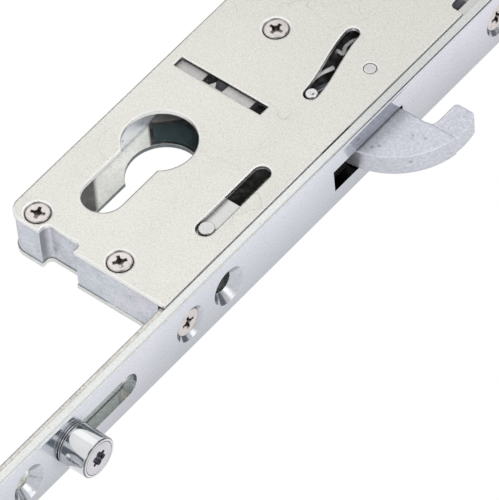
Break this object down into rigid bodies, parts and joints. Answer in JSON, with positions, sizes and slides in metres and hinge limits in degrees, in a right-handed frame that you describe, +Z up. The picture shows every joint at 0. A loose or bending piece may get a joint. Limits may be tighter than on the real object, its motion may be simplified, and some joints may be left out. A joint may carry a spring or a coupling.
{
  "type": "multipoint door lock",
  "caption": "Slim mortice case with a swinging hook bolt, spring latch and handle follower on a long faceplate whose sliding rods carry rollers.",
  "frame": {"origin": "axis of the cylinder cut-out, at half the thickness of the case", "axes": "+X points out of the faceplate, +Z up along the strip, -Y out of the cover with the screw heads"},
  "size_m": [0.0647, 0.016, 0.4329],
  "materials": {
    "faceplate": "satin",
    "rod": "satin",
    "guide": "satin",
    "case_casting": "matt cast",
    "cover": "satin",
    "screw": "bright",
    "bush": "matt",
    "slide": "satin",
    "pin": "bright",
    "hook": "satin cast",
    "spacer": "satin",
    "follower": "satin cast",
    "lever": "satin",
    "latch": "satin",
    "spring": "bright",
    "lock_slide": "satin",
    "roller": "polished"
  },
  "bodies": {
    "case": {"faceplate": "faceplate", "rod_guides": "guide", "case_body": "case_casting", "front_cover": "cover", "rear_cover": "cover", "cover_screws": "screw", "faceplate_screws": "screw", "front_bush": "bush", "rear_bush": "bush", "hook_pivot_pin": "pin", "hook_spacers": "spacer", "slide_rivets": "spacer", "detent_spring": "spring"},
    "drive": {"lower_drive_rod": "rod", "upper_drive_rod": "rod", "front_slide_plate": "slide", "rear_slide_plate": "slide", "slide_guide_pin": "pin", "follower_pin": "pin"},
    "hook": {"hook_bolt": "hook"},
    "hook_pin": {"hook_drive_pin": "pin"},
    "handle_follower": {"follower": "follower"},
    "latch": {"latch_bolt": "latch", "latch_spring": "spring"},
    "lever": {"latch_lever": "lever"},
    "lock_slide": {"locking_slide": "lock_slide"},
    "lower_stud": {"lower_roller_stud": "roller", "lower_roller_washer": "spacer"},
    "lower_roller": {"lower_roller_sleeve": "roller"},
    "upper_stud": {"upper_roller_stud": "roller", "upper_roller_washer": "spacer"},
    "upper_roller": {"upper_roller_sleeve": "roller"}
  },
  "joints": [
    {"name": "drive_slide", "type": "slide", "parent": "case", "child": "drive", "axis": [0, 0, 1], "range_m": [0, 0.0185]},
    {"name": "hook_swing", "type": "hinge", "parent": "case", "child": "hook", "pos_m": [0.0244, 0, 0.0435], "axis": [0, 1, 0], "range_deg": [0, 90]},
    {"name": "hook_pin_shift", "type": "slide", "parent": "drive", "child": "hook_pin", "axis": [-1, 0, 0], "range_m": [0, 0.00355]},
    {"name": "follower_turn", "type": "hinge", "parent": "case", "child": "handle_follower", "pos_m": [0, 0, 0.092], "axis": [0, -1, 0], "range_deg": [0, 43.5]},
    {"name": "latch_slide", "type": "slide", "parent": "case", "child": "latch", "axis": [-1, 0, 0], "range_m": [0, 0.0102], "stiffness_N_per_m": 300, "springref_m": -0.008, "deforming": ["latch_spring"]},
    {"name": "lever_turn", "type": "hinge", "parent": "case", "child": "lever", "pos_m": [0, 0, 0.092], "axis": [0, -1, 0], "range_deg": [0, 19.92]},
    {"name": "locking_slide_shift", "type": "slide", "parent": "case", "child": "lock_slide", "axis": [1, 0, 0], "range_m": [0, 0.0036], "deforming": ["detent_spring"]},
    {"name": "lower_stud_turn", "type": "hinge", "parent": "drive", "child": "lower_stud", "pos_m": [0.035, 0, -0.07275], "axis": [1, 0, 0], "range_deg": [-90, 90]},
    {"name": "lower_roller_spin", "type": "hinge", "parent": "lower_stud", "child": "lower_roller", "pos_m": [0.0393, 0, -0.072], "axis": [1, 0, 0], "continuous": true},
    {"name": "upper_stud_turn", "type": "hinge", "parent": "drive", "child": "upper_stud", "pos_m": [0.035, 0, 0.18735], "axis": [1, 0, 0], "range_deg": [-90, 90]},
    {"name": "upper_roller_spin", "type": "hinge", "parent": "upper_stud", "child": "upper_roller", "pos_m": [0.0393, 0, 0.1881], "axis": [1, 0, 0], "continuous": true}
  ],
  "couplings": [
    {"joint": "hook_swing", "follows": "drive_slide", "rad_per_m": 84.907},
    {"joint": "hook_pin_shift", "follows": "drive_slide", "ratio": 0.19189},
    {"joint": "follower_turn", "follows": "drive_slide", "rad_per_m": 41.032},
    {"joint": "lever_turn", "follows": "latch_slide", "rad_per_m": 34.069}
  ]
}
